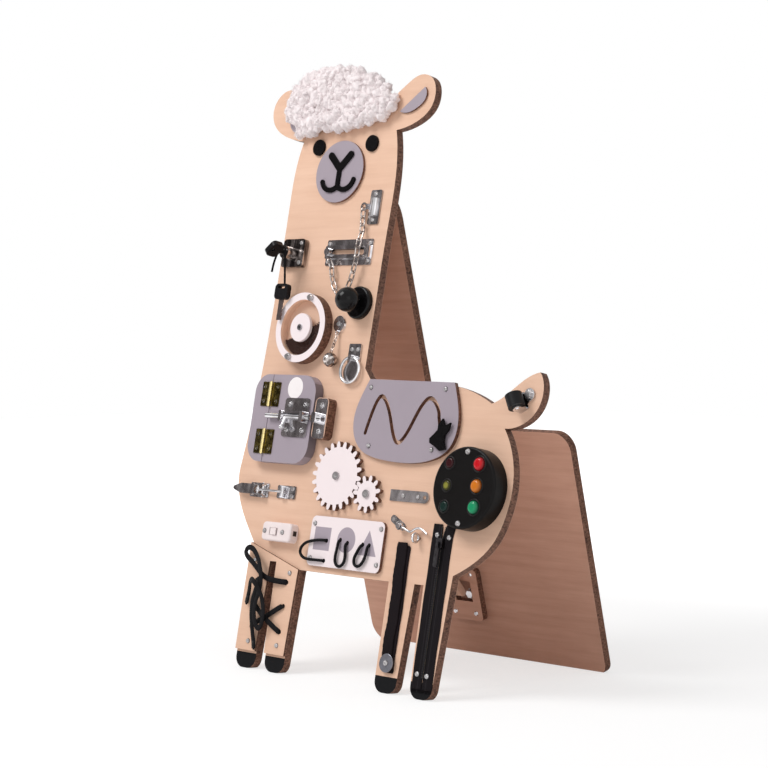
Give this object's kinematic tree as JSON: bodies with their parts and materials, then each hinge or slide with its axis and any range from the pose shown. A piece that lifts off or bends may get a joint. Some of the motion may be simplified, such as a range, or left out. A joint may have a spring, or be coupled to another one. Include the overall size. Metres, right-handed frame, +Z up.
{
  "type": "busy board",
  "caption": "Plywood activity board in the shape of a llama on a folding A-frame stand, with latches, gears, a door, a light box, laces and other small things to work",
  "frame": {"origin": "under the middle of the object's box, on the floor", "axes": "+Z up; -Y toward the side with the activities; +X toward the tail"},
  "size_m": [0.5852, 0.3347, 0.8315],
  "materials": {
    "plywood": "smooth sanded",
    "grey_board": "painted satin",
    "black_board": "gloss",
    "wool": "curled wool",
    "steel": "zinc plated",
    "chrome": "polished",
    "brass": "polished",
    "black_plastic": "satin",
    "white_board": "painted satin",
    "white_plastic": "gloss",
    "clear": "clear",
    "beads": "gloss",
    "red": "gloss",
    "amber": "gloss",
    "green": "gloss",
    "circuit": "satin",
    "cell": "satin",
    "black_lace": "woven",
    "black_tape": "woven",
    "zinc": "dark plated"
  },
  "bodies": {
    "front": {"front_board": "plywood", "leg_panel": "plywood", "grey_face_plates": "grey_board", "black_face_pieces": "black_board", "wool_pad": "wool", "board_screws": "steel", "lock_case": "chrome", "chain_plates": "chrome", "door_chain": "chrome", "knob_base": "black_plastic", "spinner_case": "white_board", "spinner_beads": "beads", "bell_plate": "chrome", "pull_plate": "chrome", "door_blocks": "grey_board", "hinge_fixed_leaves": "brass", "bolt_keeper": "chrome", "maze_plate": "grey_board", "latch_plates": "chrome", "switch_base": "white_plastic", "lacing_plate": "white_board", "lacing_lace": "black_lace", "leg_lace": "black_lace", "hasp_and_hook_plates": "steel", "light_housing": "black_plastic", "light_board": "circuit", "battery_pack": "cell", "velcro_strap": "black_tape", "zipper_tapes": "black_tape", "caster_bracket": "chrome", "stand_brackets": "steel"},
    "stand": {"rear_panel": "plywood", "rear_bracket": "plywood", "stand_hinge_rear": "steel"},
    "strut": {"strut": "plywood"},
    "key": {"lock_key": "black_plastic"},
    "pendant": {"key_cord": "black_lace", "spare_key": "black_plastic"},
    "chain_stud": {"chain_slider": "chrome"},
    "knob": {"knob": "black_plastic"},
    "spinner": {"spinner_window": "clear", "spinner_hub": "white_board"},
    "bell": {"jingle_bell": "chrome"},
    "pull_ring": {"pull_ring": "chrome"},
    "door": {"door_leaf": "grey_board", "hinge_door_leaves": "brass", "bolt_plate": "chrome"},
    "bolt": {"bolt_rod": "chrome"},
    "rabbit": {"rabbit_slider": "black_board"},
    "large_gear": {"large_gear": "white_board"},
    "small_gear": {"small_gear": "white_board"},
    "latch_lever": {"latch_lever": "chrome"},
    "latch_loop": {"latch_loop": "chrome"},
    "rocker": {"switch_rocker": "white_plastic"},
    "hook": {"hook": "chrome"},
    "red_button": {"red_button": "red"},
    "amber_button": {"amber_button": "amber"},
    "green_button": {"green_button": "green"},
    "caster": {"caster_roller": "black_plastic"},
    "zip": {"zipper_slider": "zinc"}
  },
  "joints": [
    {"name": "stand_fold", "type": "hinge", "parent": "front", "child": "stand", "pos_m": [-0.1245, -0.01403, 0.65105], "axis": [-1, 0, 0], "range_deg": [0, 22.8]},
    {"name": "strut_fold", "type": "hinge", "parent": "front", "child": "strut", "pos_m": [-0.0365, -0.07599, 0.32576], "axis": [-1, 0, 0], "range_deg": [0, 47.7]},
    {"name": "key_turn", "type": "hinge", "parent": "front", "child": "key", "pos_m": [-0.1955, -0.07767, 0.57019], "axis": [0, -0.9794, 0.2019], "range_deg": [0, 90]},
    {"name": "pendant_swing", "type": "hinge", "parent": "front", "child": "pendant", "pos_m": [-0.192, -0.07571, 0.56979], "axis": [0, -0.9794, 0.2019], "range_deg": [-20, 20]},
    {"name": "chain_slide", "type": "slide", "parent": "front", "child": "chain_stud", "axis": [1, 0, 0], "range_m": [0, 0.05]},
    {"name": "knob_turn", "type": "hinge", "parent": "front", "child": "knob", "pos_m": [-0.0525, -0.08181, 0.50059], "axis": [0, -0.9794, 0.2019], "range_deg": [-60, 60]},
    {"name": "spinner_turn", "type": "hinge", "parent": "front", "child": "spinner", "pos_m": [-0.1499, -0.07934, 0.46302], "axis": [0, -0.9794, 0.2019], "continuous": true},
    {"name": "bell_swing", "type": "hinge", "parent": "front", "child": "bell", "pos_m": [-0.085, -0.07478, 0.45544], "axis": [0, -0.9794, 0.2019], "range_deg": [-14, 12]},
    {"name": "ring_lift", "type": "hinge", "parent": "front", "child": "pull_ring", "pos_m": [-0.0485, -0.08384, 0.42341], "axis": [-1, 0, 0], "range_deg": [0, 90]},
    {"name": "door_swing", "type": "hinge", "parent": "front", "child": "door", "pos_m": [-0.188, -0.11287, 0.33955], "axis": [0, -0.2019, -0.9794], "range_deg": [0, 110]},
    {"name": "bolt_slide", "type": "slide", "parent": "door", "child": "bolt", "axis": [1, 0, 0], "range_m": [0, 0.022]},
    {"name": "rabbit_slide", "type": "slide", "parent": "front", "child": "rabbit", "axis": [-0.2983, 0.1927, 0.9348], "range_m": [0, 0.022]},
    {"name": "large_gear_turn", "type": "hinge", "parent": "front", "child": "large_gear", "pos_m": [-0.0433, -0.1134, 0.26614], "axis": [0, -0.9794, 0.2019], "continuous": true},
    {"name": "small_gear_turn", "type": "hinge", "parent": "front", "child": "small_gear", "pos_m": [0.01815, -0.11755, 0.24601], "axis": [0, -0.9794, 0.2019], "continuous": true},
    {"name": "latch_lift", "type": "hinge", "parent": "front", "child": "latch_lever", "pos_m": [-0.1865, -0.12082, 0.23959], "axis": [0, 0.2019, 0.9794], "range_deg": [0, 100]},
    {"name": "latch_loop_turn", "type": "hinge", "parent": "latch_lever", "child": "latch_loop", "pos_m": [-0.1955, -0.12229, 0.2399], "axis": [0, 0.2019, 0.9794], "range_deg": [-100, 0]},
    {"name": "rocker_tip", "type": "hinge", "parent": "front", "child": "rocker", "pos_m": [-0.143, -0.13839, 0.18655], "axis": [0, 0.2019, 0.9794], "range_deg": [0, 16]},
    {"name": "hook_swing", "type": "hinge", "parent": "front", "child": "hook", "pos_m": [0.0875, -0.12848, 0.20983], "axis": [0, -0.9794, 0.2019], "range_deg": [0, 90]},
    {"name": "red_press", "type": "slide", "parent": "front", "child": "red_button", "axis": [0, 0.9794, -0.2019], "range_m": [0, 0.0025], "stiffness_N_per_m": 400, "springref_m": -0.001},
    {"name": "amber_press", "type": "slide", "parent": "front", "child": "amber_button", "axis": [0, 0.9794, -0.2019], "range_m": [0, 0.0025], "stiffness_N_per_m": 400, "springref_m": -0.001},
    {"name": "green_press", "type": "slide", "parent": "front", "child": "green_button", "axis": [0, 0.9794, -0.2019], "range_m": [0, 0.0025], "stiffness_N_per_m": 400, "springref_m": -0.001},
    {"name": "caster_turn", "type": "hinge", "parent": "front", "child": "caster", "pos_m": [0.2615, -0.10207, 0.3751], "axis": [0.5, -0.1749, -0.8482], "continuous": true},
    {"name": "zip_slide", "type": "slide", "parent": "front", "child": "zip", "axis": [0, -0.2019, -0.9794], "range_m": [0, 0.148]}
  ],
  "couplings": [
    {"joint": "strut_fold", "follows": "stand_fold", "ratio": 2.091},
    {"joint": "small_gear_turn", "follows": "large_gear_turn", "ratio": -2},
    {"joint": "latch_loop_turn", "follows": "latch_lift", "ratio": -1}
  ]
}
